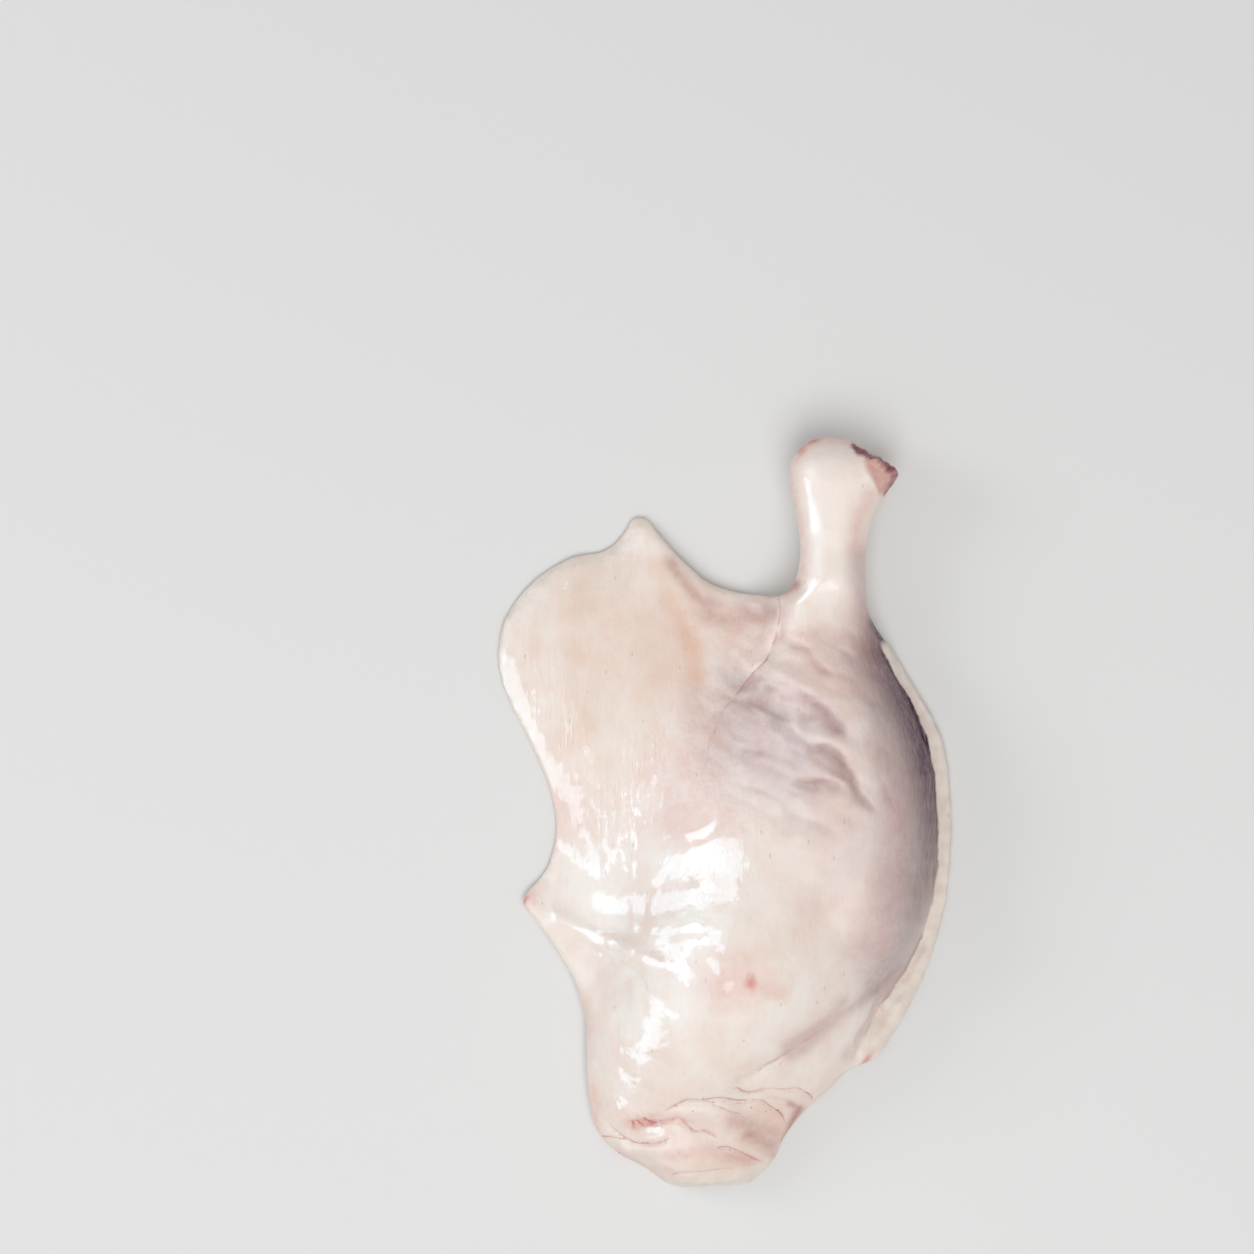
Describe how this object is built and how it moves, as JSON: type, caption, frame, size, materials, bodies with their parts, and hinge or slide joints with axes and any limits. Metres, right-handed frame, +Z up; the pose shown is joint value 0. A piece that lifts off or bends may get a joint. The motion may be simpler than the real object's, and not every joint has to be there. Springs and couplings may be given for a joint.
{
  "type": "duck leg",
  "caption": "Raw duck leg, thigh and drumstick in one piece, lying skin side up with a loose flap of skin beside it.",
  "frame": {"origin": "under the middle of the leg's outline, on the surface that it lies on", "axes": "+Y along the leg towards the hock, +X towards the knee side, +Z up out of the skin side"},
  "size_m": [0.121, 0.1994, 0.0353],
  "materials": {
    "skin": "moist, satin, slightly translucent raw skin over fat",
    "meat": "moist raw muscle",
    "bone": "moist, cut bone end",
    "cartilage": "smooth moist cartilage"
  },
  "bodies": {
    "root": {"skin": "skin", "meat": "meat", "shin_bone": "bone", "hip_joint_ball": "cartilage"}
  },
  "joints": []
}
